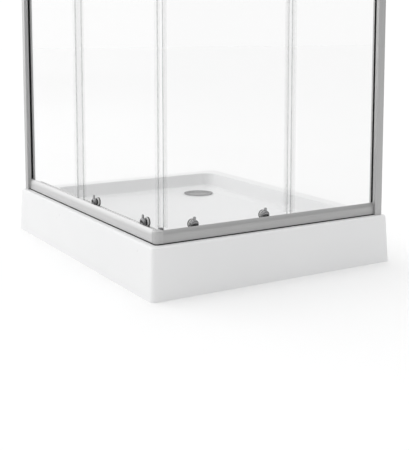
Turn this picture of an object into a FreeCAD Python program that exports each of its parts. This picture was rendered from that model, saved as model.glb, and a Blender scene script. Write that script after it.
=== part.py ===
"""Corner shower enclosure: a tray, two fixed panes and two sliding doors that meet at the corner.

Each glazed side has its own directions: u runs along the side from the entry corner to the wall,
v runs inwards from the tray's bottom outer edge, and z runs up. The front side's u is +X and its v is +Y;
the left side's u is +Y and its v is +X. All lengths are in millimetres.
"""
import FreeCAD, Part
import math
import os
from types import SimpleNamespace

import Sketcher
from FreeCAD import Vector

DRIVING_SIZES = {
    # tray
    "tray_wide": 800.0,
    "tray_deep": 1000.0,
    "tray_high": 140.0,
    "skirt_lean": 7.0,
    "tray_wall": 6.0,
    "ledge_front": 110.0,
    "ledge_back": 56.0,
    "basin_depth": 42.0,
    "basin_slope": 25.0,
    "basin_corner": 45.0,
    "basin_cove": 12.0,
    "floor_fall": 9.0,
    "board_under": 80.0,
    "tray_edge_round": 6.0,
    "frame_tube": 20.0,
    "frame_inset": 130.0,
    "foot_round": 18.0,
    # waste
    "waste_inset": 178.0,
    "waste_hole": 90.0,
    "cover_wide": 105.0,
    "outlet_wide": 40.0,
    # enclosure
    "enclosure_high": 1850.0,
    "wall_gap": 17.0,
    "post_wide": 25.0,
    "post_outer": 19.0,
    "post_deep": 27.5,
    "glass_thick": 5.0,
    "fixed_glass_at": 35.5,
    "door_glass_at": 55.5,
    "glass_in_post": 14.0,
    "front_fixed_start": 458.0,
    "left_fixed_start": 553.0,
    "door_start": 65.0,
    "glass_overlap": 2.5,
    # rails
    "rail_outer": 27.0,
    "rail_inner": 69.0,
    "rail_high": 36.5,
    "rail_skin": 2.0,
    "rail_web": 1.5,
    "rail_bow": 24.0,
    "seal_strip": 1.5,
    "glazing_strip": 1.5,
    "connector_wide": 22.0,
    "corner_round": 10.0,
    "track_floor": 19.5,
    "track_rib": 24.0,
    "track_wide": 24.0,
    "buffer_high": 12.0,
    # rollers
    "wheel_round": 12.0,
    "wheel_wide": 4.0,
    "cap_wide": 26.0,
    "cap_thick": 7.2,
    "cap_dome": 5.5,
    "roller_boss": 5.8,
    "axle_round": 2.5,
    "axle_play": 0.05,
    "top_wheel_round": 10.0,
    "hanger_drop": 48.0,
    "front_roller_near": 155.0,
    "front_roller_far": 383.0,
    "left_roller_near": 145.0,
    "left_roller_far": 467.0,
    # handles
    "handle_at": 105.0,
    "handle_height": 1000.0,
    "handle_span": 200.0,
    "handle_stand": 26.0,
    "handle_bar": 12.0,
    # travel
    "front_travel": 290.0,
    "left_travel": 390.0,
    "play": 0.3,
}


class Size:
    """A length: its number now, and the formula that ties it to the sheet."""

    def __init__(self, value, formula):
        self.value = value
        self.formula = formula

    def _with(self, other, sign, value):
        return Size(value, "(%s %s %s)" % (self.formula, sign, as_size(other).formula))

    def __add__(self, other):
        return self._with(other, "+", self.value + as_size(other).value)

    def __radd__(self, other):
        return as_size(other) + self

    def __sub__(self, other):
        return self._with(other, "-", self.value - as_size(other).value)

    def __rsub__(self, other):
        return as_size(other) - self

    def __mul__(self, other):
        return self._with(other, "*", self.value * as_size(other).value)

    def __rmul__(self, other):
        return as_size(other) * self

    def __truediv__(self, other):
        return self._with(other, "/", self.value / as_size(other).value)

    def __neg__(self):
        return 0 - self


def as_size(thing):
    """Gives plain numbers the same form as sheet lengths."""
    if isinstance(thing, Size):
        return thing
    return Size(float(thing), "%.6f" % thing if thing >= 0 else "(0 - %.6f)" % -thing)


def larger(first, second):
    """The larger of two lengths, also after a size on the sheet changes."""
    first = as_size(first)
    second = as_size(second)
    return Size(max(first.value, second.value), "max(%s; %s)" % (first.formula, second.formula))


def tie(thing, name, size):
    """Sets a property and ties it to the sheet."""
    thing.setExpression(name, as_size(size).formula)


doc = FreeCAD.newDocument("corner_shower")
sheet = doc.addObject("Spreadsheet::Sheet", "Sizes")
for row, (alias, number) in enumerate(DRIVING_SIZES.items(), start=1):
    sheet.set("A%d" % row, str(number))
    sheet.setAlias("A%d" % row, alias)
doc.recompute()
d = SimpleNamespace(**{alias: Size(number, "Sizes." + alias) for alias, number in DRIVING_SIZES.items()})

sub_parts = []


def new_body(name, x=0, y=0, z=0):
    """Starts a sub-part whose own origin lies x, y, z from the entry corner's foot."""
    body = doc.addObject("PartDesign::Body", name)
    body.Label = name
    tie(body, "Placement.Base.x", as_size(x) - d.tray_wide / 2)
    tie(body, "Placement.Base.y", as_size(y) - d.tray_deep / 2)
    tie(body, "Placement.Base.z", as_size(z))
    sub_parts.append(body)
    return body


def corner(x, y, arc=None):
    """One corner of an outline; arc is the radius of the edge that leaves it, bulging to its right."""
    return SimpleNamespace(x=as_size(x), y=as_size(y), arc=arc)


def circle(x, y, radius):
    return SimpleNamespace(x=as_size(x), y=as_size(y), circle=as_size(radius))


def box(x0, y0, x1, y1):
    return [corner(x0, y0), corner(x1, y0), corner(x1, y1), corner(x0, y1)]


def round_box(x0, y0, x1, y1, radius):
    """A rectangle with round corners, anticlockwise from its lower side."""
    x0, y0, x1, y1 = (as_size(length) for length in (x0, y0, x1, y1))
    return [
        corner(x0 + radius, y0), corner(x1 - radius, y0, radius),
        corner(x1, y0 + radius), corner(x1, y1 - radius, radius),
        corner(x1 - radius, y1), corner(x0 + radius, y1, radius),
        corner(x0, y1 - radius), corner(x0, y0 + radius, radius),
    ]


def edge_curve(start, end, radius):
    """The line or arc from one corner to the next."""
    if radius is None:
        return Part.LineSegment(start, end)
    chord = end - start
    outward = Vector(chord.y, -chord.x, 0).normalize()
    half = chord.Length / 2
    rise = radius - math.sqrt(max(radius * radius - half * half, 0.0))
    return Part.Arc(start, (start + end) * 0.5 + outward * rise, end)


def draw(sketch, outline):
    """Draws one closed outline and ties every corner of it to the sheet."""
    if not isinstance(outline, list):
        middle = Vector(outline.x.value, outline.y.value, 0)
        number = sketch.addGeometry(Part.Circle(middle, Vector(0, 0, 1), outline.circle.value), False)
        measure(sketch, "DistanceX", (-1, 1, number, 3), outline.x)
        measure(sketch, "DistanceY", (-1, 1, number, 3), outline.y)
        measure(sketch, "Radius", (number,), outline.circle)
        return
    places = [Vector(point.x.value, point.y.value, 0) for point in outline]
    edges = []
    for index, point in enumerate(outline):
        start = places[index]
        end = places[(index + 1) % len(places)]
        radius = None if point.arc is None else as_size(point.arc).value
        number = sketch.addGeometry(edge_curve(start, end, radius), False)
        starts_first = sketch.getPoint(number, 1).distanceToPoint(start) < 1e-6
        edges.append((number, 1 if starts_first else 2, 2 if starts_first else 1))
    for index, (number, begin, finish) in enumerate(edges):
        following, next_begin, _ = edges[(index + 1) % len(edges)]
        sketch.addConstraint(Sketcher.Constraint("Coincident", number, finish, following, next_begin))
    for point, (number, begin, finish) in zip(outline, edges):
        measure(sketch, "DistanceX", (-1, 1, number, begin), point.x)
        measure(sketch, "DistanceY", (-1, 1, number, begin), point.y)
        if point.arc is not None:
            measure(sketch, "Radius", (number,), as_size(point.arc))


def measure(sketch, kind, where, size):
    """Adds one dimension to a sketch, tied to the sheet where it is made of sheet values."""
    number = sketch.addConstraint(Sketcher.Constraint(kind, *where, size.value))
    if "Sizes." in size.formula:
        sketch.setExpression("Constraints[%d]" % number, size.formula)


def sketch_on(body, plane, outlines, offset=0):
    """A sketch on one of the body's own planes, moved along the plane's axis by offset."""
    sketch = body.newObject("Sketcher::SketchObject", body.Name + "_sketch")
    origin_plane = [feature for feature in body.Origin.OriginFeatures if feature.Role == plane][0]
    sketch.AttachmentSupport = (origin_plane, [""])
    sketch.MapMode = "FlatFace"
    towards = -1 if plane == "XZ_Plane" else 1
    tie(sketch, "AttachmentOffset.Base.z", towards * as_size(offset))
    for outline in outlines:
        draw(sketch, outline)
    return sketch


def pad(body, plane, outlines, length, offset=0, lean=None):
    """Extrudes outlines from offset along the plane's positive axis; lean draws the sides in."""
    feature = body.newObject("PartDesign::Pad", body.Name + "_pad")
    feature.Profile = sketch_on(body, plane, outlines, offset)
    feature.Reversed = plane == "XZ_Plane"
    tie(feature, "Length", length)
    if lean is not None:
        feature.setExpression("TaperAngle", lean)
    doc.recompute()
    return feature


def pocket(body, plane, outlines, length, offset=0, lean=None, downward=False):
    """Cuts outlines from offset along the plane's positive axis, or the other way if downward."""
    before = body.Shape.Volume
    feature = body.newObject("PartDesign::Pocket", body.Name + "_pocket")
    feature.Profile = sketch_on(body, plane, outlines, offset)
    feature.Reversed = (plane != "XZ_Plane") != downward
    tie(feature, "Length", length)
    if lean is not None:
        feature.setExpression("TaperAngle", lean)
    doc.recompute()
    if not body.Shape.Volume < before - 0.01:
        raise ValueError("a pocket of %s cuts nothing" % body.Label)
    return feature


def revolve(body, plane, outlines, axis, kind="PartDesign::Revolution"):
    """Turns outlines about an axis of their own sketch."""
    feature = body.newObject(kind, body.Name + "_turned")
    sketch = sketch_on(body, plane, outlines)
    feature.Profile = sketch
    feature.ReferenceAxis = (sketch, [axis])
    feature.Angle = 360
    doc.recompute()
    return feature


def fillet(body, wanted, radius):
    """Rounds the edges of the body that the test picks."""
    base = body.Tip
    names = ["Edge%d" % number for number, edge in enumerate(base.Shape.Edges, start=1) if wanted(edge)]
    feature = body.newObject("PartDesign::Fillet", body.Name + "_rounded")
    feature.Base = (base, names)
    tie(feature, "Radius", radius)
    doc.recompute()
    return feature


def upright(edge):
    """True for edges that run up, or lean a little from it."""
    if len(edge.Vertexes) < 2:
        return False
    rise = edge.Vertexes[1].Point - edge.Vertexes[0].Point
    return abs(rise.z) > 0.9 * edge.Length and edge.Length > 1


class Side:
    """One glazed side of the enclosure and its own directions."""

    def __init__(self, name, long, along_x, fixed_start, rollers, travel):
        self.name = name
        self.long = long
        self.along_x = along_x
        self.fixed_start = fixed_start
        self.rollers = rollers
        self.travel = travel
        self.section = "YZ_Plane" if along_x else "XZ_Plane"
        self.face = "XZ_Plane" if along_x else "YZ_Plane"

    def plan(self, outline):
        """Turns a (u, v) outline into the floor plane's (x, y)."""
        if self.along_x:
            return outline
        swapped = [corner(point.y, point.x) for point in outline]
        return [swapped[0]] + swapped[:0:-1]

    def body(self, kind, u=0, v=0, z=0):
        x, y = (u, v) if self.along_x else (v, u)
        return new_body("%s_%s" % (self.name, kind), x, y, z)


FRONT = Side("front", d.tray_wide, True, d.front_fixed_start, (d.front_roller_near, d.front_roller_far),
             d.front_travel)
LEFT = Side("left", d.tray_deep, False, d.left_fixed_start, (d.left_roller_near, d.left_roller_far),
            d.left_travel)
SIDES = (FRONT, LEFT)

top_z = d.tray_high + d.enclosure_high
half_glass = d.glass_thick / 2
fixed_out = d.fixed_glass_at - half_glass
fixed_in = d.fixed_glass_at + half_glass
door_out = d.door_glass_at - half_glass
door_in = d.door_glass_at + half_glass
skirt_angle = "atan(Sizes.skirt_lean / Sizes.tray_high)"
basin_angle = "atan(Sizes.basin_slope / Sizes.basin_depth)"
waste_x = d.tray_wide - d.waste_inset
waste_y = d.tray_deep - d.waste_inset
floor_edge_z = d.tray_high - d.basin_depth
drain_z = floor_edge_z - d.floor_fall
slot_play = 0.35
rail_base = d.seal_strip


# Tray ------------------------------------------------------------------------------------------------

def build_tray():
    """A deep tray with a leaning skirt, wide front ledges and a basin that falls to the waste."""
    body = new_body("tray")
    wide = d.tray_wide
    deep = d.tray_deep
    wall = d.tray_wall
    pad(body, "XY_Plane", [box(0, 0, wide, deep)], d.tray_high, lean="-" + skirt_angle)
    fillet(body, upright, d.corner_round)
    fillet(body, lambda edge: all(vertex.Z > d.tray_high.value - 0.01 for vertex in edge.Vertexes),
           d.tray_edge_round)
    inside = box(wall, wall, wide - wall, deep - wall)
    pocket(body, "XY_Plane", [inside], d.tray_high - wall, lean="-" + skirt_angle)
    # the board under the basin, which reaches from the underside up to the ledges
    foot = d.ledge_front + d.basin_slope
    back = d.ledge_back + d.basin_slope
    pad(body, "XY_Plane", [box(foot - wall, foot - wall, wide - back + wall, deep - back + wall)],
        d.tray_high - d.board_under - wall / 2, offset=d.board_under, lean="atan(0.45)")
    basin = round_box(d.ledge_front, d.ledge_front, wide - d.ledge_back, deep - d.ledge_back, d.basin_corner)
    pocket(body, "XY_Plane", [basin], d.basin_depth, offset=d.tray_high, lean="-" + basin_angle,
           downward=True)
    fillet(body, lambda edge: all(abs(vertex.Z - floor_edge_z.value) < 0.01 for vertex in edge.Vertexes)
           and edge.BoundBox.ZLength < 0.01, d.basin_cove)
    ledge_inside = d.ledge_front.value - 1
    fillet(body, lambda edge: all(abs(vertex.Z - d.tray_high.value) < 0.01 and vertex.X > ledge_inside
                                  and vertex.Y > ledge_inside and vertex.X < wide.value - ledge_inside / 2.1
                                  and vertex.Y < deep.value - ledge_inside / 2.1
                                  for vertex in edge.Vertexes), 4)
    # the falls of the floor
    falls = body.newObject("PartDesign::SubtractiveLoft", "tray_falls")
    clear = 14
    sink = d.cover_wide / 2 + 6
    upper = round_box(foot + clear, foot + clear, wide - back - clear, deep - back - clear, 16)
    lower = round_box(waste_x - sink, waste_y - sink, waste_x + sink, waste_y + sink, sink - 4)
    falls.Profile = sketch_on(body, "XY_Plane", [upper], floor_edge_z)
    falls.Sections = [(sketch_on(body, "XY_Plane", [lower], drain_z), [""])]
    falls.Ruled = True
    doc.recompute()
    pocket(body, "XY_Plane", [circle(waste_x, waste_y, d.waste_hole / 2)], d.tray_high, offset=0)


def build_tray_frame():
    """Square tubes that carry the board: two long ones against it and three across below them."""
    body = new_body("tray_frame")
    tube = d.frame_tube
    inset = d.frame_inset
    top = d.board_under

    def section(middle, upper):
        skin = 2
        side = tube / 2
        return [box(middle - side, upper - tube, middle + side, upper),
                box(middle - side + skin, upper - tube + skin, middle + side - skin, upper - skin)]

    for place in (0.26, 0.56):
        pad(body, "XZ_Plane", section(d.tray_wide * place, top), d.tray_deep - 2 * inset, offset=inset)
    for place in (0.2, 0.5, 0.68):
        across = section(d.tray_deep * place, top - tube)
        pad(body, "YZ_Plane", across, d.tray_wide - 2 * inset, offset=inset)
    return [(d.tray_wide * x, d.tray_deep * y) for x in (0.22, 0.78) for y in (0.2, 0.68)]


def build_feet(places):
    """Screw feet under the cross tubes, each with its hexagon."""
    feet = new_body("tray_feet")
    under = d.board_under - 2 * d.frame_tube
    for x, y in places:
        pad(feet, "XY_Plane", [circle(x, y, d.foot_round)], 8)
        pad(feet, "XY_Plane", [circle(x, y, 5)], under - 8, offset=8)
        hexagon = [corner(x + 9 * math.cos(math.radians(60 * turn)), y + 9 * math.sin(math.radians(60 * turn)))
                   for turn in range(6)]
        pad(feet, "XY_Plane", [hexagon], 7, offset=under - 7)


def build_waste():
    """A trap under the floor, its flange in the drain hole and a lift-out cover."""
    gasket = new_body("waste_gasket", waste_x, waste_y)
    hole = d.waste_hole / 2
    revolve(gasket, "XZ_Plane", [box(hole - 1, d.board_under - 3, hole + 11, d.board_under)], "V_Axis")

    trap = new_body("waste_body", waste_x, waste_y)
    rim_z = d.board_under - 3
    outside = hole + 1
    cup = [corner(0.5, 12), corner(outside - 6, 12), corner(outside, 18), corner(outside, rim_z - 6),
           corner(outside + 10, rim_z - 6), corner(outside + 10, rim_z), corner(outside - 3, rim_z),
           corner(outside - 3, 19), corner(outside - 7, 15), corner(0.5, 15)]
    revolve(trap, "XZ_Plane", [cup], "V_Axis")
    outlet = d.outlet_wide / 2
    outlet_z = 44
    bore = circle(0, outlet_z, outlet - 2)
    pad(trap, "YZ_Plane", [circle(0, outlet_z, outlet), bore], 60, offset=outside - 2)
    pocket(trap, "YZ_Plane", [bore], 8, offset=outside - 6)

    flange = new_body("waste_flange", waste_x, waste_y)
    flange_top = drain_z + 1.6
    ring = [corner(hole - 5.5, 62), corner(hole - 2.3, 62), corner(hole - 2.3, drain_z),
            corner(hole + 6, drain_z), corner(hole + 6, flange_top), corner(hole - 5.5, flange_top)]
    revolve(flange, "XZ_Plane", [ring], "V_Axis")

    basket = new_body("trap_cup", waste_x, waste_y)
    rest = hole - 5.7
    tube = [
        corner(24, 22), corner(26, 22), corner(26, 64), corner(rest, 64), corner(rest, 66), corner(24, 66),
    ]
    revolve(basket, "XZ_Plane", [tube], "V_Axis")

    cover = new_body("drain_cover", waste_x, waste_y, flange_top + d.play)
    for turn in (90, 210, 330):
        x = 36 * math.cos(math.radians(turn))
        y = 36 * math.sin(math.radians(turn))
        pad(cover, "XY_Plane", [circle(x, y, 3)], 15, offset=-14)
    radius = d.cover_wide / 2
    crown = 2.8
    bow = (radius * radius + crown * crown) / (2 * crown)
    dome = [corner(0, 0), corner(radius, 0), corner(radius, 1.2, bow), corner(0, 1.2 + crown)]
    revolve(cover, "XZ_Plane", [dome], "V_Axis")


# Fixed parts of one side -----------------------------------------------------------------------------

def wall_end(side):
    """Where the rails end, at the wall profile's face."""
    return side.long - d.wall_gap - d.post_wide


def build_wall_profile(side):
    """A channel with a glazing slot, a hollow outer flange and fixing holes in its back."""
    body = side.body("wall_profile", z=d.tray_high)
    near = wall_end(side)
    far = side.long - d.wall_gap
    out = d.post_outer
    inner = d.post_outer + d.post_deep
    slot_out = fixed_out - d.glazing_strip
    slot_in = fixed_in + d.glazing_strip
    web = 2.5
    skin = 1.6
    outline = [corner(near, out), corner(far, out), corner(far, inner), corner(near, inner),
               corner(near, slot_in), corner(far - web, slot_in), corner(far - web, slot_out),
               corner(near, slot_out)]
    chambers = [box(near + skin, out + skin, far - skin, slot_out - skin),
                box(near + skin, slot_in + skin, far - skin, inner - skin)]
    pad(body, "XY_Plane", [side.plan(outline)] + [side.plan(chamber) for chamber in chambers],
        d.enclosure_high)
    rounded = 1.5
    fillet(body, lambda edge: upright(edge) and any(
        edge.BoundBox.Center.distanceToPoint(Vector(x, y, edge.BoundBox.Center.z)) < 0.1
        for x, y in (flat(side, near, out), flat(side, far, out), flat(side, near, inner))), rounded)
    for height in (150, 650, 1150, 1650):
        pocket(body, side.section, [circle(d.fixed_glass_at, height, 2.6)], 2 * web, offset=far - web * 1.5)


def flat(side, u, v):
    """The numbers of a (u, v) place in the floor plane."""
    u, v = as_size(u).value, as_size(v).value
    return (u, v) if side.along_x else (v, u)


def build_gasket(side):
    """A rubber channel round the glass edge in the wall profile's slot."""
    body = side.body("glazing_gasket", z=d.tray_high + d.rail_high)
    near = wall_end(side) + 0.4
    end = wall_end(side) + d.glass_in_post
    strip = d.glazing_strip
    outline = [corner(near, fixed_out - strip), corner(end + strip, fixed_out - strip),
               corner(end + strip, fixed_in + strip), corner(near, fixed_in + strip), corner(near, fixed_in),
               corner(end, fixed_in), corner(end, fixed_out), corner(near, fixed_out)]
    pad(body, "XY_Plane", [side.plan(outline)], d.enclosure_high - 2 * d.rail_high)


def build_fixed_glass(side):
    """The fixed pane, which stands in both rails and in the wall profile."""
    body = side.body("fixed_glass", v=fixed_out, z=d.tray_high)
    end = wall_end(side) + d.glass_in_post
    pad(body, side.face, [box(side.fixed_start, 10, end, d.enclosure_high - 10)], d.glass_thick)


def build_fixed_seal(side):
    """A clear lipped profile pushed on the fixed pane's leading edge."""
    body = side.body("fixed_seal", z=d.tray_high + d.rail_high + 0.5)
    edge = side.fixed_start
    grip = 12.0
    outline = [corner(edge - 3, fixed_out - 1.5), corner(edge + grip, fixed_out - 1.5),
               corner(edge + grip, fixed_out), corner(edge, fixed_out), corner(edge, fixed_in),
               corner(edge + grip, fixed_in), corner(edge + grip, fixed_in + 1.5),
               corner(edge - 1.4, fixed_in + 1.5), corner(edge + 0.6, door_out - 1.8),
               corner(edge - 0.9, door_out - 1.8), corner(edge - 3, fixed_in + 1.5)]
    high = d.enclosure_high - 2 * d.rail_high - 1
    pad(body, "XY_Plane", [side.plan(outline)], high)
    # the lip is cut away where the rollers and hangers pass
    lip = box(edge - 5, fixed_in + 1.9, edge + 3, door_out)
    pocket(body, "XY_Plane", [side.plan(lip)], 24, offset=-1)
    pocket(body, "XY_Plane", [side.plan(lip)], 30, offset=high - 29)


def rail_sections(level):
    """The rail's outline and hollow chambers in (v, height); level maps heights for bottom or top."""
    out = d.rail_outer
    inner = d.rail_inner
    slot_out = fixed_out - slot_play
    slot_in = fixed_in + slot_play
    slot_floor = 9.5
    crest = d.rail_high - 4.5
    rim = d.track_rib + 0.5
    wall = inner - d.track_wide
    rib_near = inner - 9.5
    rib_far = inner - 6
    rib_slope = 1
    outline = [
        (out, rail_base, None), (inner, rail_base, None), (inner, rim, None),
        (inner - d.rail_skin, rim, None), (inner - d.rail_skin, d.track_floor, None),
        (rib_far, d.track_floor, None), (rib_far, d.track_rib - rib_slope, None),
        (rib_far - rib_slope, d.track_rib, None), (rib_near + rib_slope, d.track_rib, None),
        (rib_near, d.track_rib - rib_slope, None), (rib_near, d.track_floor, None),
        (wall, d.track_floor, None), (wall, crest, None),
        (slot_in, crest, None), (slot_in, slot_floor, None), (slot_out, slot_floor, None),
        (slot_out, d.rail_high, None),
        (slot_out - 0.9, d.rail_high, d.rail_bow), (out, d.rail_high / 2, None),
    ]
    skin = d.rail_skin
    web = d.rail_web
    chambers = [
        [(out + skin, rail_base + skin), (slot_out - web, rail_base + skin),
         (slot_out - web, d.rail_high * 0.6), (out + skin, d.rail_high / 2)],
        [(slot_in + web, rail_base + skin), (wall - web, rail_base + skin), (wall - web, crest - web),
         (slot_in + web, crest - web)],
        [(wall + web, rail_base + skin), (inner - skin, rail_base + skin),
         (inner - skin, d.track_floor - skin), (wall + web, d.track_floor - skin)],
    ]
    shell = [corner(v, level(height), arc) for v, height, arc in outline]
    hollows = [[corner(v, level(height)) for v, height in chamber] for chamber in chambers]
    return shell, hollows


def build_rail(side, at_top):
    """An extruded rail: bullnose outside, glass slot, and the track with its rib inside.

    The top rail carries the doors, so its inner wall has a lip with the rib on it.
    """
    kind = "top_rail" if at_top else "bottom_rail"
    body = side.body(kind, z=top_z if at_top else d.tray_high)
    start = d.rail_outer + d.connector_wide
    length = wall_end(side) - start
    if at_top:
        outlines = top_rail_outlines()
    else:
        shell, hollows = rail_sections(lambda height: as_size(height))
        outlines = [shell] + hollows
    pad(body, side.section, outlines, length, offset=start)
    # the mitre behind the corner connector
    beyond = d.rail_inner + 1
    mitre = [
        corner(start - 1, start), corner(start, start), corner(beyond, beyond), corner(start - 1, beyond),
    ]
    height = d.rail_high + 12
    pocket(body, "XY_Plane", [side.plan(mitre)], height, offset=-height if at_top else -1)


def top_rail_outlines():
    """The top rail's outline and chambers in (v, height below the top)."""
    out = d.rail_outer
    inner = d.rail_inner
    slot_out = fixed_out - slot_play
    slot_in = fixed_in + slot_play
    skin = d.rail_skin
    web = d.rail_web
    wall = inner - d.track_wide
    high = d.rail_high
    lip_top = lip_depth()
    outline = [
        (out, high / 2, None), (slot_out - 0.9, high, None), (slot_out, high, None),
        (slot_out, 8, None), (slot_in, 8, None), (slot_in, high, None), (wall, high, None),
        (wall, skin, None), (inner - skin, skin, None), (inner - skin, lip_top, None),
        (inner - 5.2, lip_top, None), (inner - 5.2, lip_top - 2.5, None),
        (inner - 7.2, lip_top - 2.5, None), (inner - 7.2, lip_top, None),
        (inner - 8.3, lip_top, None), (inner - 8.3, lip_top + skin, None), (inner, lip_top + skin, None),
        (inner, 0, None), (out, 0, None),
    ]
    shell = [corner(v, -as_size(depth), arc) for v, depth, arc in outline]
    shell[0].arc = d.rail_bow
    chambers = [
        [(out + skin, skin), (slot_out - web, skin), (slot_out - web, high * 0.6), (out + skin, high / 2)],
        [(slot_in + web, skin), (wall - web, skin), (wall - web, high - skin), (slot_in + web, high - skin)],
    ]
    return [shell] + [[corner(v, -as_size(depth)) for v, depth in chamber] for chamber in chambers]


def build_rail_seal(side):
    """The black strip that seals the bottom rail to the tray."""
    body = side.body("rail_seal", z=d.tray_high)
    start = d.rail_inner + 0.5
    pad(body, side.face, [box(start, 0, wall_end(side), d.seal_strip)], d.rail_inner - d.rail_outer - 1.5,
        offset=d.rail_outer + 0.8)
    pad(body, side.face, [box(d.rail_outer + d.connector_wide, 0, start, d.seal_strip)],
        d.connector_wide - 1.5, offset=d.rail_outer + 0.8)


def build_connector(at_top):
    """The block that joins two rails at the entry corner, with a stub into each rail's hollow."""
    body = new_body("corner_connector_top" if at_top else "corner_connector_bottom",
                    z=top_z if at_top else d.tray_high)
    near = d.rail_outer
    end = d.rail_outer + d.connector_wide
    high = d.rail_high
    pad(body, "XY_Plane", [box(near, near, end, end)], high, offset=-high if at_top else 0)
    fillet(body, lambda edge: upright(edge) and edge.BoundBox.Center.x < near.value + 1
           and edge.BoundBox.Center.y < near.value + 1, d.corner_round)
    rim = -high.value if at_top else high.value

    def outer_rim(edge):
        box_ = edge.BoundBox
        return abs(box_.Center.z - rim) < 0.01 and box_.ZLength < 0.01 and (
            box_.XMin < end.value - 1 and box_.YMin < end.value - 1) and not (
            box_.XMin > end.value - 0.5 or box_.YMin > end.value - 0.5)

    fillet(body, outer_rim, 5)
    # stubs in the hollow between the glass slot and the track
    v0 = fixed_in + slot_play + d.rail_web + 0.2
    v1 = d.rail_inner - d.track_wide - d.rail_web - 0.2
    low = -(d.rail_high - 8) if at_top else as_size(5)
    for side in SIDES:
        pad(body, side.section, [box(v0, low, v1, low + 22)], 30, offset=end)


def lip_depth():
    """How far below the top rail's top its inner lip lies."""
    return d.rail_high - 8.5


def build_buffers():
    """Upright rubber buffers at the inner corner, which both doors close against."""
    body = new_body("corner_buffers")
    near = d.door_glass_at
    far = d.door_start - d.play
    low = d.tray_high + d.track_rib
    post = round_box(near, near, far, far, 2)
    pad(body, "XY_Plane", [post], d.buffer_high, offset=low)
    lip_foot = top_z - lip_depth() - d.rail_skin
    pad(body, "XY_Plane", [post], 18, offset=lip_foot - 18)


def build_end_brackets():
    """Angle brackets that close the rails' wall ends and hold them to the wall profiles, with screws."""
    brackets = new_body("rail_end_brackets")
    screws = new_body("bracket_screws")
    plate = 2.0
    for side in SIDES:
        end = wall_end(side)
        v0 = d.post_outer + d.post_deep
        for low in (d.tray_high + 3, top_z - d.rail_high + 3):
            high = low + 20
            pad(brackets, side.face, [box(end, low, end + plate, high)], d.rail_inner - v0, offset=v0)
            pad(brackets, side.face, [box(end + plate, low, end + 20, high)], plate, offset=v0)
            middle = low + 10
            pad(screws, side.face, [circle(end + 12, middle, 3.5)], 2, offset=v0 + plate)


def build_stops():
    """Rubber blocks in the top rails that end each door's opening travel."""
    body = new_body("opening_stops")
    for side in SIDES:
        start = side.rollers[1] + side.travel + d.top_wheel_round + 3
        v0 = d.rail_inner - 8
        low = top_z - lip_depth() + 2.5
        pad(body, side.face, [box(start, low, start + 12, top_z - d.rail_skin)], 6, offset=v0)


# Door ------------------------------------------------------------------------------------------------

def handle_heights():
    return (d.handle_height - d.handle_span / 2, d.handle_height + d.handle_span / 2)


def build_door_glass(side):
    """The sliding pane with holes for its handle, hangers and bottom rollers."""
    body = side.body("door_glass", v=door_out)
    start = d.door_start
    end = side.fixed_start + d.glass_overlap
    low = d.tray_high + d.track_floor + 3.5
    high = top_z - 22
    holes = [circle(d.handle_at, height, 6) for height in handle_heights()]
    bore = d.roller_boss + 0.2
    holes += [circle(u, top_z - d.hanger_drop, bore) for u in side.rollers]
    holes += [circle(u, d.tray_high + d.track_rib + d.wheel_round, bore) for u in side.rollers]
    pad(body, side.face, [box(start, low, end, high)] + holes, d.glass_thick)


def seal_height():
    """The lower and upper ends of the door seals, clear of the corner buffers and the rails."""
    low = larger(d.track_rib + d.buffer_high + 1, d.rail_high + 0.5)
    return d.tray_high + low, top_z - d.rail_high - 14


def build_magnet_seal(side):
    """The door's leading seal, mitred at the corner diagonal."""
    low, high = seal_height()
    body = side.body("magnet_seal", z=low)
    outer = door_out - 1.5
    inner = door_in + 1.5
    edge = d.door_start
    grip = edge + 10
    gap = 0.15
    outline = [corner(outer + gap, outer), corner(grip, outer), corner(grip, door_out),
               corner(edge, door_out), corner(edge, door_in), corner(grip, door_in), corner(grip, inner),
               corner(inner + gap, inner)]
    pad(body, "XY_Plane", [side.plan(outline)], high - low)


def build_trailing_seal(side):
    """The lipped seal on the door's trailing edge, which meets the fixed pane's seal."""
    low, high = seal_height()
    body = side.body("trailing_seal", z=low)
    edge = side.fixed_start + d.glass_overlap
    grip = 9.0
    lip = fixed_in + 2.2
    outline = [corner(edge - grip, door_out - 1.5), corner(edge + 1.4, door_out - 1.5), corner(edge + 2, lip),
               corner(edge + 3.4, lip), corner(edge + 4, door_out - 1.5), corner(edge + 4, door_in + 1.5),
               corner(edge - grip, door_in + 1.5), corner(edge - grip, door_in), corner(edge, door_in),
               corner(edge, door_out), corner(edge - grip, door_out)]
    pad(body, "XY_Plane", [side.plan(outline)], high - low)


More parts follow.
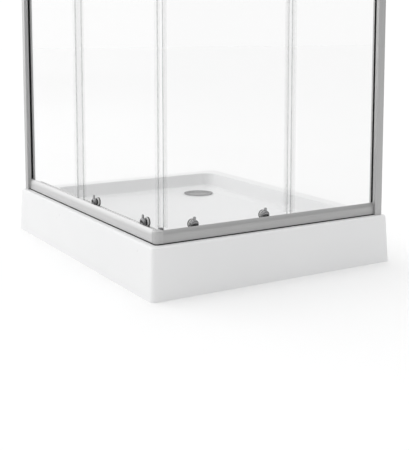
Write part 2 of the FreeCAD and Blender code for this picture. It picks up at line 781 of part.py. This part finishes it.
def build_handle(side, inside):
    """A bow handle: an upright bar on two legs, swept along its path."""
    body = side.body("handle_inner" if inside else "handle_outer", u=d.handle_at)
    low, high = handle_heights()
    towards = 1 if inside else -1
    foot = (door_in + 1) if inside else (door_out - 1)
    bar = foot + towards * d.handle_stand
    bend = 14.0
    path_plane = "YZ_Plane" if side.along_x else "XZ_Plane"
    path = sketch_on(body, path_plane, [])
    points = [(foot, low, None), (bar - towards * bend, low, bend), (bar, low + bend, None),
              (bar, high - bend, bend), (bar - towards * bend, high, None), (foot, high, None)]
    numbers = []
    for index in range(len(points) - 1):
        x, y, radius = points[index]
        next_x, next_y, _ = points[index + 1]
        start = Vector(as_size(x).value, as_size(y).value, 0)
        end = Vector(as_size(next_x).value, as_size(next_y).value, 0)
        if radius is None:
            curve = Part.LineSegment(start, end)
        else:
            middle = (start + end) * 0.5
            bow = Vector(as_size(bar).value, low.value if index < 3 else high.value, 0) - middle
            curve = Part.Arc(start, middle + bow * (math.sqrt(2) - 1), end)
        number = path.addGeometry(curve, False)
        first = 1 if path.getPoint(number, 1).distanceToPoint(start) < 1e-6 else 2
        measure(path, "DistanceX", (-1, 1, number, first), as_size(x))
        measure(path, "DistanceY", (-1, 1, number, first), as_size(y))
        if radius is not None:
            measure(path, "Radius", (number,), as_size(radius))
        numbers.append((number, first, 3 - first))
    for (number, _, last), (following, first, _) in zip(numbers, numbers[1:]):
        path.addConstraint(Sketcher.Constraint("Coincident", number, last, following, first))
    number, _, last = numbers[-1]
    measure(path, "DistanceX", (-1, 1, number, last), as_size(foot))
    measure(path, "DistanceY", (-1, 1, number, last), as_size(high))
    ring = sketch_on(body, side.face, [circle(0, low, d.handle_bar / 2)], foot)
    pipe = body.newObject("PartDesign::AdditivePipe", body.Name + "_bar")
    pipe.Profile = ring
    pipe.Spine = (path, ["Edge%d" % number for number in range(1, len(points))])
    doc.recompute()
    if inside:
        # studs that pass through the washers and the glass into the outer handle's feet
        for height in (low, high):
            pad(body, side.face, [circle(0, height, 4)], d.glass_thick + 2, offset=door_out - 1)


def build_handle_washers(side):
    """Washers between the handles' feet and both faces of the glass."""
    washers = side.body("handle_washers", u=d.handle_at)
    for height in handle_heights():
        for start in (door_out - 1, door_in):
            pad(washers, side.face, [circle(0, height, 9), circle(0, height, 4.2)], 1, offset=start)


def wheel_outline(radius, wide, start):
    """Half of a grooved wheel's section: (along the axle, out from it)."""
    hole = d.axle_round + d.axle_play
    return [corner(start, hole), corner(start + wide, hole), corner(start + wide, radius),
            corner(start + wide * 0.75, radius), corner(start + wide * 0.5, radius - 0.8),
            corner(start + wide * 0.25, radius), corner(start, radius)]


def build_wheel(side, kind, u, z, radius, start):
    """A grooved wheel turned about its axle, which runs along v."""
    body = side.body(kind, u=u, z=z)
    outline = wheel_outline(radius, d.wheel_wide, start)
    if side.along_x:
        outline = [corner(point.y, point.x) for point in outline][::-1]
        revolve(body, "XY_Plane", [outline], "V_Axis")
    else:
        revolve(body, "XY_Plane", [outline], "H_Axis")


def build_bottom_rollers(side):
    """Two click rollers: domed cap outside, wheel between two discs inside, release button in the cap."""
    caps = side.body("bottom_caps")
    bodies = side.body("bottom_roller_bodies")
    centre_z = d.tray_high + d.track_rib + d.wheel_round
    cap_start = door_out - d.cap_thick - 0.1
    rib_middle = d.rail_inner - 7.75
    wheel_start = rib_middle - d.wheel_wide / 2
    collar_end = wheel_start - 0.25
    disc_start = wheel_start + d.wheel_wide + 0.6
    disc_end = d.rail_inner - d.rail_skin - 0.5
    for number, u in enumerate(side.rollers, start=1):
        pad(caps, side.face, [circle(u, centre_z, d.cap_wide / 2)], d.cap_thick, offset=cap_start)
        for radius, start, end in ((d.roller_boss, door_out - 0.1, door_in), (9, door_in, collar_end),
                                   (d.axle_round, collar_end, disc_end),
                                   (d.cap_wide / 2, disc_start, disc_end)):
            pad(bodies, side.face, [circle(u, centre_z, radius)], end - start, offset=start)
        build_wheel(side, "bottom_wheel_%d" % number, u, centre_z, d.wheel_round, wheel_start)
        button = side.body("release_button_%d" % number, u=u, v=cap_start, z=centre_z)
        top = d.cap_wide / 2 + 8
        pad(button, side.face, [round_box(-3.5, 9, 3.5, top, 2)], 3, offset=3.1)
    round_cap_rims(caps, side, cap_start)
    for u in side.rollers:
        slot = box(u - 3.8, centre_z + 5, u + 3.8, centre_z + 16)
        pocket(caps, side.face, [slot], 3.6, offset=cap_start + 2.8)


def round_cap_rims(caps, side, outer_face):
    """Rounds the caps' outer rims to domes."""
    def on_outer_face(edge):
        middle = edge.BoundBox.Center
        across = middle.y if side.along_x else middle.x
        return edge.Length > 30 and abs(across - outer_face.value) < 0.01

    fillet(caps, on_outer_face, d.cap_dome)


def build_top_hangers(side):
    """Two hangers: cap and bolt outside, a plate inside that rises to the wheel in the top rail."""
    caps = side.body("top_caps")
    plates = side.body("top_hangers")
    bolt_z = top_z - d.hanger_drop
    wheel_z = top_z - lip_depth() + 2.5 + d.top_wheel_round
    plate = 1.9
    wheel_start = d.rail_inner - 6.2 - d.wheel_wide / 2
    for number, u in enumerate(side.rollers, start=1):
        pad(caps, side.face, [circle(u, bolt_z, d.cap_wide / 2)], d.cap_thick, offset=door_out - d.cap_thick)
        pad(caps, side.face, [circle(u, bolt_z, d.roller_boss)], d.glass_thick, offset=door_out)
        strap = round_box(u - 12, bolt_z - 12, u + 12, wheel_z + 6, 5)
        pad(plates, side.face, [strap], plate, offset=door_in + 0.2)
        pad(plates, side.face, [circle(u, bolt_z, 4)], 0.3, offset=door_in)
        pad(plates, side.face, [circle(u, bolt_z, 8)], 4, offset=door_in + 0.2 + plate)
        pad(plates, side.face, [circle(u, wheel_z, d.axle_round)], 6.4, offset=door_in + 0.2 + plate)
        build_wheel(side, "top_wheel_%d" % number, u, wheel_z, d.top_wheel_round, wheel_start)
    round_cap_rims(caps, side, door_out - d.cap_thick)


def build_all():
    build_tray()
    feet_places = build_tray_frame()
    build_feet(feet_places)
    build_waste()
    for side in SIDES:
        build_wall_profile(side)
        build_gasket(side)
        build_fixed_glass(side)
        build_fixed_seal(side)
        build_rail(side, at_top=False)
        build_rail(side, at_top=True)
        build_rail_seal(side)
    build_connector(at_top=False)
    build_connector(at_top=True)
    build_buffers()
    build_end_brackets()
    build_stops()
    for side in SIDES:
        build_door_glass(side)
        build_magnet_seal(side)
        build_trailing_seal(side)
        build_handle(side, inside=False)
        build_handle(side, inside=True)
        build_handle_washers(side)
        build_bottom_rollers(side)
        build_top_hangers(side)


build_all()
doc.recompute()

faults = [thing.Label for thing in doc.Objects if "Invalid" in thing.State or "Error" in thing.State]
faults += [body.Label for body in sub_parts if body.Shape.isNull() or not body.Shape.isValid()]
if faults:
    raise ValueError("not built: " + ", ".join(faults))

os.makedirs("parts", exist_ok=True)
for body in sub_parts:
    body.Shape.exportStep("parts/%s.step" % body.Label)
print("%d sub-parts written" % len(sub_parts))
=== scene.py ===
"""Looks of a corner shower enclosure: deep white tray, clear panes, bright rails and chrome rollers."""
import math

import bpy
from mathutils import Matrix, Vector


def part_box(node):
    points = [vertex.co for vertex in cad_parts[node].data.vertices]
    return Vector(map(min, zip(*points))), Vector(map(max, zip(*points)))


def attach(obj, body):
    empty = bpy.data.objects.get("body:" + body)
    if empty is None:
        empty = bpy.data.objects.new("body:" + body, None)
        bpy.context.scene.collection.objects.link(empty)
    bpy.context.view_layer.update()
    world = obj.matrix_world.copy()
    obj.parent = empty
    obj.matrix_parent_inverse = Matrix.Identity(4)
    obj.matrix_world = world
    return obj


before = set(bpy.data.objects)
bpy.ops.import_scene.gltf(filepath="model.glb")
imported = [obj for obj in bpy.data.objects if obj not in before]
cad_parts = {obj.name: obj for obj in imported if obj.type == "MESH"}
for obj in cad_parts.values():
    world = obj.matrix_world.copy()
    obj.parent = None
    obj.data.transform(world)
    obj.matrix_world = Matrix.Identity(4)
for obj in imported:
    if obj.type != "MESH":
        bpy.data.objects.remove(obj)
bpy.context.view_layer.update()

# camera, as the photograph's perspective gives it
IMAGE_LONG_SIDE = 450
FOCAL_PIXELS = 869.70
CENTRE_OFFSET_X = 1.26
CENTRE_OFFSET_Y = 99.03
CAMERA_PLACE = (-1.38149, -2.39882, 0.68420)
CAMERA_YAW = 31.00
CAMERA_PITCH = 6.23
SENSOR = 36.0

# light: the surround is brightest above and at the left and back, and darkest in front
SURROUND_LIGHT = 0.68
SURROUND_SLOPE = (-0.12, 0.34, 0.60)
SURROUND_LEAST = 0.50
SURROUND_SEEN = 1.04
KEY_PLACE = (-4.5, 0.3, 3.0)
KEY_TARGET = (0, 0, 0.5)
KEY_SIZE = 3.0
KEY_POWER = 1.5
CARD_PLACE = (-3.0, 4.6, 1.9)
CARD_TARGET = (-0.4, 0, 0.15)
CARD_SIZE = 3.4
CARD_POWER = 26

# trim that the looks add, in metres
LIP_OUT = 0.0010
LIP_HIGH = 0.0028
LIP_SLOPE_START = 0.7
CONNECTOR_ROUND = 0.010
LIP_ARC_STEPS = 10

# the stretch of a bottom rail that counts as its track and gets painted light, in metres in from its inner
# face and up from its foot
TRACK_START = 0.0002
TRACK_WIDE = 0.0235
TRACK_FOOT = 0.004

# a face belongs to a pane's rim where its normal leans less than this out of the pane
RIM_LEAN = 0.5


def make_camera():
    data = bpy.data.cameras.new("camera")
    data.sensor_width = SENSOR
    data.lens = FOCAL_PIXELS / IMAGE_LONG_SIDE * SENSOR
    data.shift_x = -CENTRE_OFFSET_X / IMAGE_LONG_SIDE
    data.shift_y = -CENTRE_OFFSET_Y / IMAGE_LONG_SIDE
    data.clip_end = 50
    camera = bpy.data.objects.new("camera", data)
    camera.location = CAMERA_PLACE
    camera.rotation_euler = (math.radians(90 - CAMERA_PITCH), 0, math.radians(-CAMERA_YAW))
    bpy.context.scene.collection.objects.link(camera)
    bpy.context.scene.camera = camera


# Materials -------------------------------------------------------------------------------------------

def new_material(name, colour, metal=0.0, rough=0.4, alpha=1.0, coat=0.0, ior=1.45):
    """A principled material and its nodes, with the constants set on the shader itself."""
    material = bpy.data.materials.new(name)
    material.use_nodes = True
    nodes = material.node_tree.nodes
    shader = nodes["Principled BSDF"]
    shader.inputs["Base Color"].default_value = (*colour, 1)
    shader.inputs["Metallic"].default_value = metal
    shader.inputs["Roughness"].default_value = rough
    shader.inputs["IOR"].default_value = ior
    shader.inputs["Alpha"].default_value = alpha
    shader.inputs["Coat Weight"].default_value = coat
    return material, nodes, material.node_tree.links, shader


def noise(nodes, links, scale, detail=3.0, stretch=(1, 1, 1)):
    """Noise laid out in the object's own metres, drawn out by stretch."""
    place = nodes.new("ShaderNodeTexCoord")
    mapping = nodes.new("ShaderNodeMapping")
    mapping.inputs["Scale"].default_value = stretch
    texture = nodes.new("ShaderNodeTexNoise")
    texture.inputs["Scale"].default_value = scale
    texture.inputs["Detail"].default_value = detail
    links.new(place.outputs["Object"], mapping.inputs["Vector"])
    links.new(mapping.outputs["Vector"], texture.inputs["Vector"])
    return texture.outputs["Fac"]


def spread(nodes, links, value, low, high):
    """Maps a 0 to 1 value to the span low to high."""
    span = nodes.new("ShaderNodeMapRange")
    span.inputs["To Min"].default_value = low
    span.inputs["To Max"].default_value = high
    links.new(value, span.inputs["Value"])
    return span.outputs["Result"]


def tint(nodes, links, value, first, second):
    """Blends two colours by a 0 to 1 value."""
    ramp = nodes.new("ShaderNodeValToRGB")
    ramp.color_ramp.elements[0].position = 0.3
    ramp.color_ramp.elements[0].color = (*first, 1)
    ramp.color_ramp.elements[1].position = 0.7
    ramp.color_ramp.elements[1].color = (*second, 1)
    links.new(value, ramp.inputs["Fac"])
    return ramp.outputs["Color"]


def bump(nodes, links, shader, height, strength, distance):
    feature = nodes.new("ShaderNodeBump")
    feature.inputs["Strength"].default_value = strength
    feature.inputs["Distance"].default_value = distance
    links.new(height, feature.inputs["Height"])
    links.new(feature.outputs["Normal"], shader.inputs["Normal"])


def acrylic():
    """Glossy white acrylic with a faint unevenness from forming."""
    material, nodes, links, shader = new_material(
        "tray_acrylic", (0.84, 0.843, 0.846), rough=0.3, coat=0.03, ior=1.2)
    shader.inputs["Coat Roughness"].default_value = 0.08
    broad = noise(nodes, links, 3.0, 2.0)
    shade = tint(nodes, links, broad, (0.83, 0.833, 0.837), (0.85, 0.852, 0.855))
    links.new(shade, shader.inputs["Base Color"])
    fine = noise(nodes, links, 60.0, 2.0)
    links.new(spread(nodes, links, fine, 0.25, 0.34), shader.inputs["Roughness"])
    bump(nodes, links, shader, broad, 0.06, 0.004)
    return material


def profile_metal(name, stretch, colour=0.48):
    """Bright anodised aluminium with faint draw lines along the profile."""
    material, nodes, links, shader = new_material(name, (colour, colour, colour), metal=0.7, rough=0.42)
    shader.inputs["Specular IOR Level"].default_value = 0.2
    lines = noise(nodes, links, 900.0, 2.0, stretch)
    shade = tint(nodes, links, lines, (colour * 0.94,) * 3, (colour * 1.04,) * 3)
    links.new(shade, shader.inputs["Base Color"])
    links.new(spread(nodes, links, lines, 0.36, 0.48), shader.inputs["Roughness"])
    bump(nodes, links, shader, lines, 0.05, 0.0002)
    return material


def chrome(name, colour=0.62, rough=0.07):
    """Polished chrome with faint wipe marks in its gloss."""
    material, nodes, links, shader = new_material(
        name, (colour, colour, colour * 1.02), metal=1.0, rough=rough)
    marks = noise(nodes, links, 120.0, 4.0)
    links.new(spread(nodes, links, marks, rough * 0.6, rough * 1.8), shader.inputs["Roughness"])
    return material


def brushed(name, colour=0.5, rough=0.3):
    """Satin steel with fine brushing."""
    material, nodes, links, shader = new_material(name, (colour,) * 3, metal=1.0, rough=rough)
    lines = noise(nodes, links, 700.0, 3.0, (1, 12, 1))
    shade = tint(nodes, links, lines, (colour * 0.9,) * 3, (colour * 1.08,) * 3)
    links.new(shade, shader.inputs["Base Color"])
    links.new(spread(nodes, links, lines, rough * 0.8, rough * 1.3), shader.inputs["Roughness"])
    bump(nodes, links, shader, lines, 0.08, 0.0002)
    return material


def plastic(name, colour, rough=0.45, grain=1500.0):
    """Moulded plastic or rubber with a fine grain."""
    material, nodes, links, shader = new_material(name, colour, rough=rough)
    fine = noise(nodes, links, grain, 3.0)
    darker = tuple(part * 0.88 for part in colour)
    lighter = tuple(min(1.0, part * 1.08 + 0.003) for part in colour)
    links.new(tint(nodes, links, fine, darker, lighter), shader.inputs["Base Color"])
    links.new(spread(nodes, links, fine, rough * 0.85, rough * 1.15), shader.inputs["Roughness"])
    bump(nodes, links, shader, fine, 0.15, 0.0002)
    return material


def clear_glass():
    """Clear toughened glass: almost invisible, with a slight cool tint and faint smears in its gloss."""
    material, nodes, links, shader = new_material(
        "clear_glass", (0.10, 0.11, 0.108), rough=0.02, alpha=0.045, ior=1.5)
    smears = noise(nodes, links, 6.0, 4.0)
    links.new(spread(nodes, links, smears, 0.01, 0.05), shader.inputs["Roughness"])
    return material


def glass_rim():
    """The polished rim of a pane, darker than its faces because it is seen along the glass."""
    material, nodes, links, shader = new_material(
        "glass_rim", (0.22, 0.25, 0.245), rough=0.12, alpha=0.55, ior=1.5)
    chatter = noise(nodes, links, 300.0, 2.0, (1, 1, 0.05))
    links.new(spread(nodes, links, chatter, 0.08, 0.2), shader.inputs["Roughness"])
    return material


def clear_seal():
    """Clear soft plastic with draw lines along its length."""
    material, nodes, links, shader = new_material(
        "clear_seal", (0.42, 0.43, 0.44), rough=0.22, alpha=0.07)
    lines = noise(nodes, links, 700.0, 2.0, (1, 1, 0.01))
    shade = tint(nodes, links, lines, (0.36, 0.37, 0.38), (0.50, 0.51, 0.52))
    links.new(shade, shader.inputs["Base Color"])
    links.new(spread(nodes, links, lines, 0.16, 0.3), shader.inputs["Roughness"])
    return material


def give(material, *names):
    """Puts a material on CAD nodes, picked by their names' endings."""
    for node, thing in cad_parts.items():
        if any(node.endswith(name) for name in names):
            thing.data.materials.clear()
            thing.data.materials.append(material)


def give_rims(material, *names):
    """Puts a second material on the faces that lie across a pane: its rim and the walls of its holes."""
    for node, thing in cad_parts.items():
        if any(node.endswith(name) for name in names):
            across = 1 if node.startswith("front") else 0
            thing.data.materials.append(material)
            for face in thing.data.polygons:
                if abs(face.normal[across]) < RIM_LEAN:
                    face.material_index = 1


def give_tracks(material, *names):
    """Puts a second, paler material on the faces inside a bottom rail's track, between its two walls: painted
    light that lifts the shade in the track.
    """
    for name in names:
        across = 1 if name.startswith("front") else 0
        low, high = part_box(name)
        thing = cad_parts[name]
        thing.data.materials.append(material)
        place = thing.matrix_world
        for face in thing.data.polygons:
            centre = place @ face.center
            inside = high[across] - centre[across]
            if TRACK_START < inside < TRACK_WIDE and centre[2] > low[2] + TRACK_FOOT:
                face.material_index = 1


def finish_nodes():
    give(acrylic(), "tray")
    # the rails are one aluminium: the front rails get a darker copy of it, painted shade, and the left rails
    # a paler copy, painted light
    give(profile_metal("rail_metal_x_painted_shade", (0.01, 1, 1), 0.45), "front_bottom_rail", "front_top_rail")
    give(profile_metal("rail_metal_y_painted_light", (1, 0.01, 1), 0.60), "left_bottom_rail", "left_top_rail")
    # painted light: the track faces get a pale plastic instead of the rail metal, to lift the shade that
    # falls in the track
    give_tracks(plastic("track_painted_light", (0.86, 0.86, 0.86), 0.5), "front_bottom_rail", "left_bottom_rail")
    give(profile_metal("post_metal", (1, 1, 0.01), 0.48), "wall_profile")
    give(profile_metal("connector_metal", (1, 1, 1)), "connector_bottom", "connector_top")
    give(clear_glass(), "fixed_glass", "door_glass")
    give_rims(glass_rim(), "fixed_glass", "door_glass")
    give(clear_seal(), "fixed_seal", "magnet_seal", "trailing_seal")
    give(plastic("black_rubber", (0.015, 0.015, 0.015), 0.6), "glazing_gasket", "rail_seal", "opening_stops",
         "waste_gasket")
    give(plastic("buffer_rubber", (0.2, 0.2, 0.205), 0.5), "corner_buffers")
    give(chrome("roller_chrome", 0.27, 0.14), "bottom_caps", "top_caps", "button_1", "button_2")
    give(chrome("handle_chrome", 0.7), "handle_outer", "handle_inner")
    give(plastic("washer_plastic", (0.75, 0.76, 0.77), 0.3), "handle_washers")
    give(plastic("roller_plastic", (0.04, 0.04, 0.042), 0.35), "roller_bodies")
    give(plastic("wheel_plastic", (0.8, 0.8, 0.79), 0.35), "wheel_1", "wheel_2")
    give(brushed("hanger_steel", 0.5, 0.3), "top_hangers", "bracket_screws")
    give(plastic("bracket_plastic", (0.4, 0.4, 0.41), 0.4), "end_brackets")
    give(brushed("cover_steel", 0.30, 0.25), "drain_cover")
    give(chrome("waste_chrome", 0.6), "waste_flange")
    give(plastic("trap_plastic", (0.78, 0.78, 0.76), 0.4), "waste_body", "trap_cup")
    give(brushed("frame_steel", 0.45, 0.45), "tray_frame")
    give(plastic("foot_plastic", (0.03, 0.03, 0.03), 0.5), "tray_feet")


# Trim ------------------------------------------------------------------------------------------------

def swept(name, path, section, material):
    """Sweeps a section along a level path.

    A section point is (outwards, up) and a path point is (x, y, outward x, outward y).
    """
    corners = []
    faces = []
    count = len(section)
    for x, y, out_x, out_y in path:
        corners += [(x + out * out_x, y + out * out_y, up) for out, up in section]
    for step in range(len(path) - 1):
        for index in range(count):
            here = step * count + index
            beside = step * count + (index + 1) % count
            faces.append((here, beside, beside + count, here + count))
    faces.append(tuple(range(count))[::-1])
    faces.append(tuple(range(len(corners) - count, len(corners))))
    mesh = bpy.data.meshes.new(name)
    mesh.from_pydata(corners, [], faces)
    mesh.update()
    piece = bpy.data.objects.new(name, mesh)
    bpy.context.scene.collection.objects.link(piece)
    mesh.materials.append(material)
    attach(piece, "root")
    return piece


def make_rail_foot_lip(material):
    """A black lip along the foot of both rails and round the corner, which shows as a dark line there."""
    front_low, front_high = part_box("front_bottom_rail")
    left_low, left_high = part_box("left_bottom_rail")
    tray_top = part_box("tray")[1][2]
    face_x = left_low[0]
    face_y = front_low[1]
    path = [(front_high[0], face_y, 0, -1)]
    for step in range(LIP_ARC_STEPS + 1):
        turn = math.radians(90 * step / LIP_ARC_STEPS)
        out_x = -math.sin(turn)
        out_y = -math.cos(turn)
        place_x = face_x + CONNECTOR_ROUND * (1 + out_x)
        place_y = face_y + CONNECTOR_ROUND * (1 + out_y)
        path.append((place_x, place_y, out_x, out_y))
    path.append((face_x, left_high[1], -1, 0))
    section = [(0, tray_top), (LIP_OUT, tray_top), (LIP_OUT, tray_top + LIP_HIGH * LIP_SLOPE_START),
               (LIP_OUT * 0.5, tray_top + LIP_HIGH), (0, tray_top + LIP_HIGH)]
    swept("rail_foot_lip", path, section, material)


# Stage -----------------------------------------------------------------------------------------------

def make_stage():
    """A pale floor that meets a pale surround, and two broad soft lights from the left and the back left."""
    bpy.ops.mesh.primitive_plane_add(size=60)
    floor = bpy.context.object
    floor.name = "floor"
    material, nodes, links, shader = new_material("pale_floor", (0.95, 0.95, 0.95), rough=0.9)
    links.new(tint(nodes, links, noise(nodes, links, 2.0), (0.94, 0.94, 0.94), (0.95, 0.95, 0.95)),
              shader.inputs["Base Color"])
    floor.data.materials.append(material)

    world = bpy.data.worlds.new("surround")
    bpy.context.scene.world = world
    world.use_nodes = True
    nodes = world.node_tree.nodes
    links = world.node_tree.links
    background = nodes["Background"]
    background.inputs["Color"].default_value = (1, 1, 1, 1)
    direction = nodes.new("ShaderNodeTexCoord")
    slope = nodes.new("ShaderNodeVectorMath")
    slope.operation = "DOT_PRODUCT"
    slope.inputs[1].default_value = SURROUND_SLOPE
    level = nodes.new("ShaderNodeMath")
    level.operation = "ADD"
    level.inputs[1].default_value = SURROUND_LIGHT
    least = nodes.new("ShaderNodeMath")
    least.operation = "MAXIMUM"
    least.inputs[1].default_value = SURROUND_LEAST
    links.new(direction.outputs["Generated"], slope.inputs[0])
    links.new(slope.outputs["Value"], level.inputs[0])
    links.new(level.outputs["Value"], least.inputs[0])
    links.new(least.outputs["Value"], background.inputs["Strength"])
    # the surround itself shows as plain white
    seen = nodes.new("ShaderNodeBackground")
    seen.inputs["Color"].default_value = (1, 1, 1, 1)
    seen.inputs["Strength"].default_value = SURROUND_SEEN
    path = nodes.new("ShaderNodeLightPath")
    mix = nodes.new("ShaderNodeMixShader")
    links.new(path.outputs["Is Camera Ray"], mix.inputs["Fac"])
    links.new(background.outputs["Background"], mix.inputs[1])
    links.new(seen.outputs["Background"], mix.inputs[2])
    links.new(mix.outputs["Shader"], nodes["World Output"].inputs["Surface"])

    area_light("key", KEY_PLACE, KEY_TARGET, KEY_SIZE, KEY_POWER)
    area_light("card", CARD_PLACE, CARD_TARGET, CARD_SIZE, CARD_POWER)


def area_light(name, place, target, size, power):
    data = bpy.data.lights.new(name, "AREA")
    data.size = size
    data.energy = power
    light = bpy.data.objects.new(name, data)
    light.location = place
    light.rotation_euler = (Vector(target) - Vector(place)).to_track_quat("-Z", "Y").to_euler()
    bpy.context.scene.collection.objects.link(light)


bpy.context.scene.view_settings.view_transform = "Standard"
make_camera()
make_stage()
finish_nodes()
make_rail_foot_lip(plastic("lip_black", (0.01, 0.01, 0.01), 0.7))
